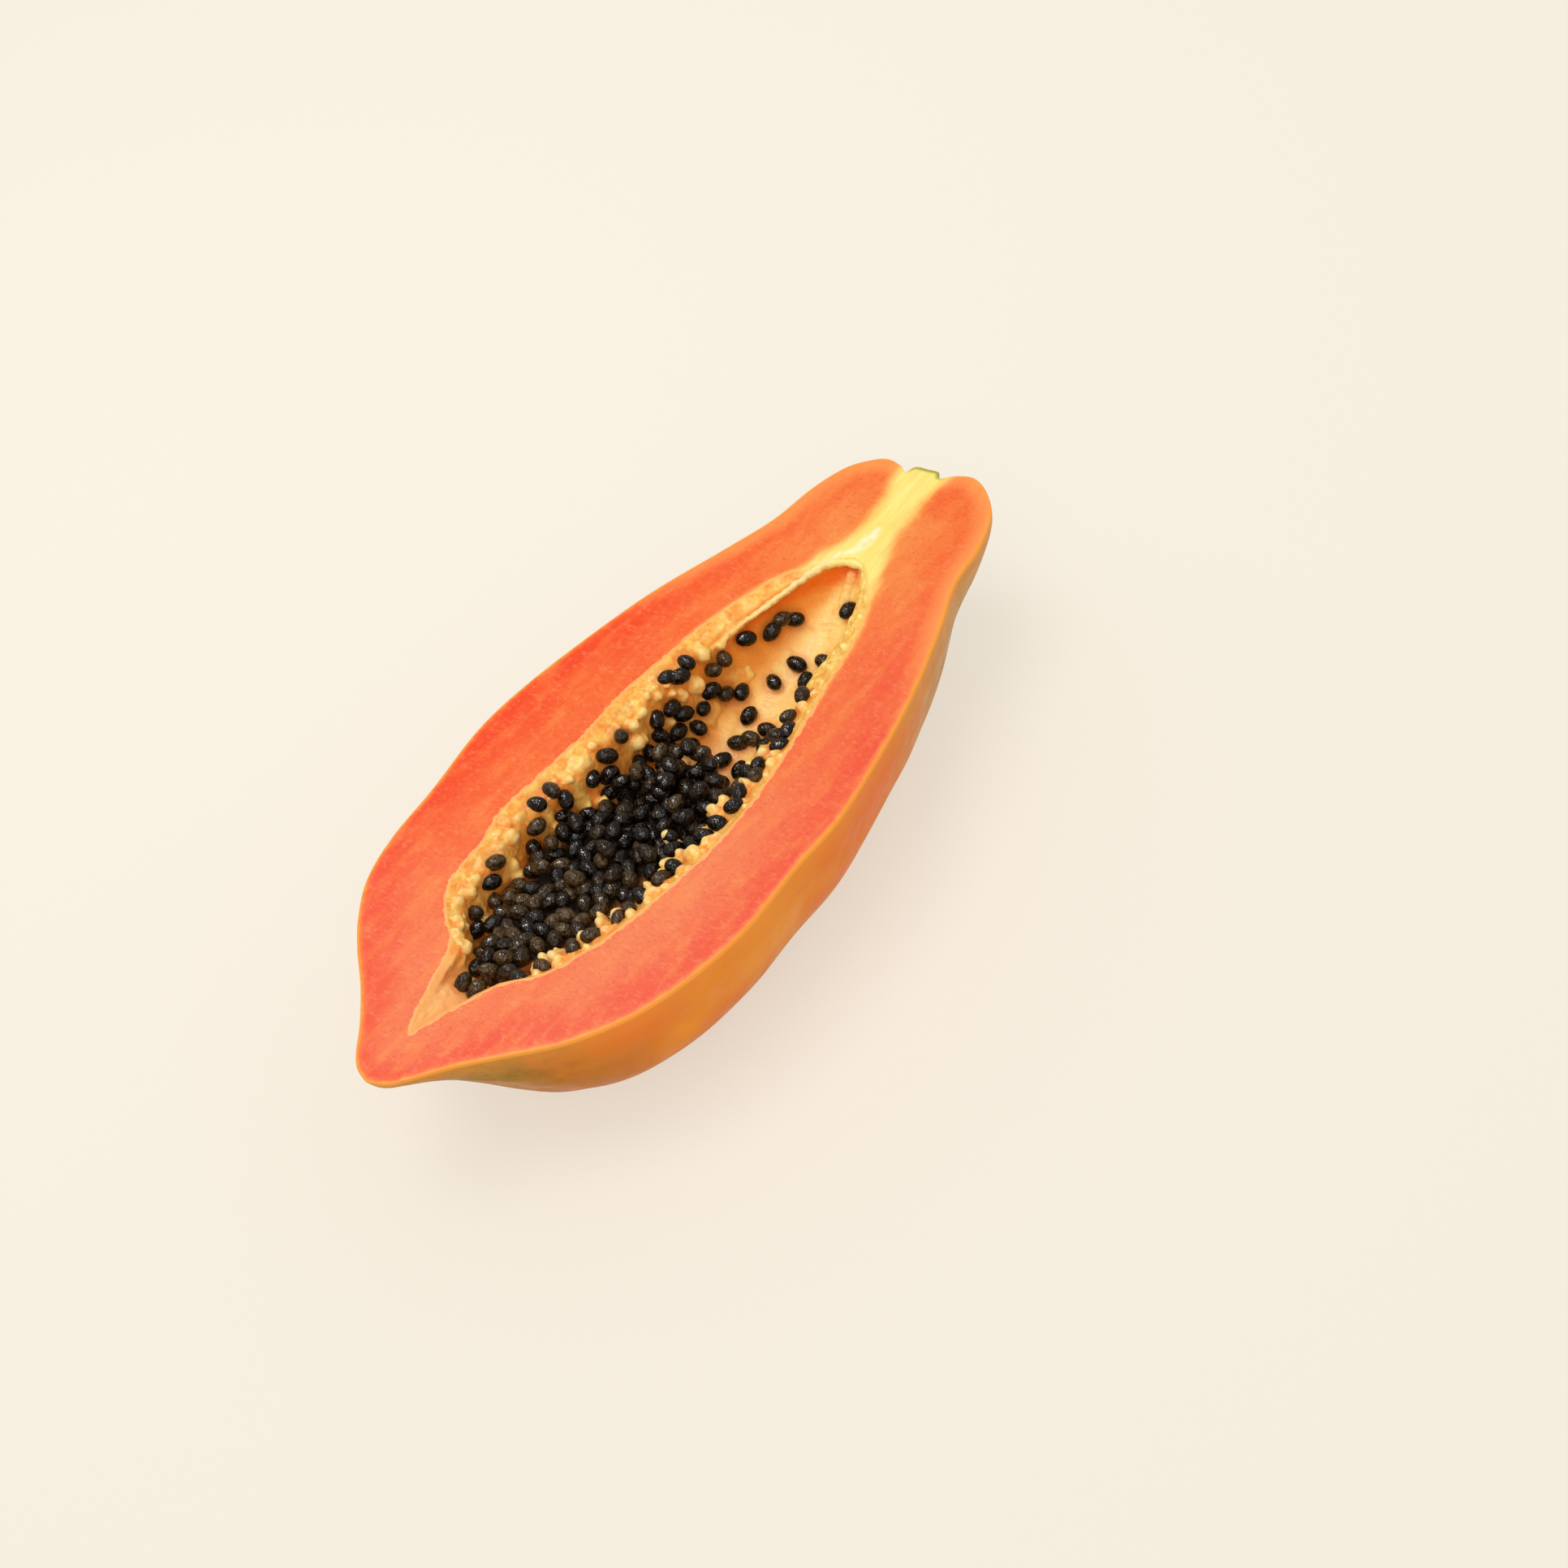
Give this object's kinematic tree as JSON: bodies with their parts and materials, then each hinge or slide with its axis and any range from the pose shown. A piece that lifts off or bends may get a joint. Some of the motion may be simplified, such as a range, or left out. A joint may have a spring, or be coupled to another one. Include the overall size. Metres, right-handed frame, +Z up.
{
  "type": "papaya half",
  "caption": "Half of a ripe long papaya, cut lengthwise, lying on its belly with the cut face up and a hollow holding a heap of dark seeds.",
  "frame": {"origin": "under the middle of the fruit's box, on the surface that the belly's flat spot rests on", "axes": "+X along the fruit towards the stalk end, +Y across the cut face, +Z up, square to the cut face"},
  "size_m": [0.2708, 0.1234, 0.06],
  "materials": {
    "flesh": "ripe red-orange flesh, moist, with a pale yellow core at the stalk end",
    "skin": "thin waxy skin, ochre to orange with olive green streaks",
    "pulp": "soft cream to orange lining of the hollow, moist and knobbly",
    "seed": "black wrinkled seeds in a glossy wet coat, some brown"
  },
  "bodies": {
    "root": {"papaya_half": "flesh", "seed_heap": "seed"}
  },
  "joints": []
}
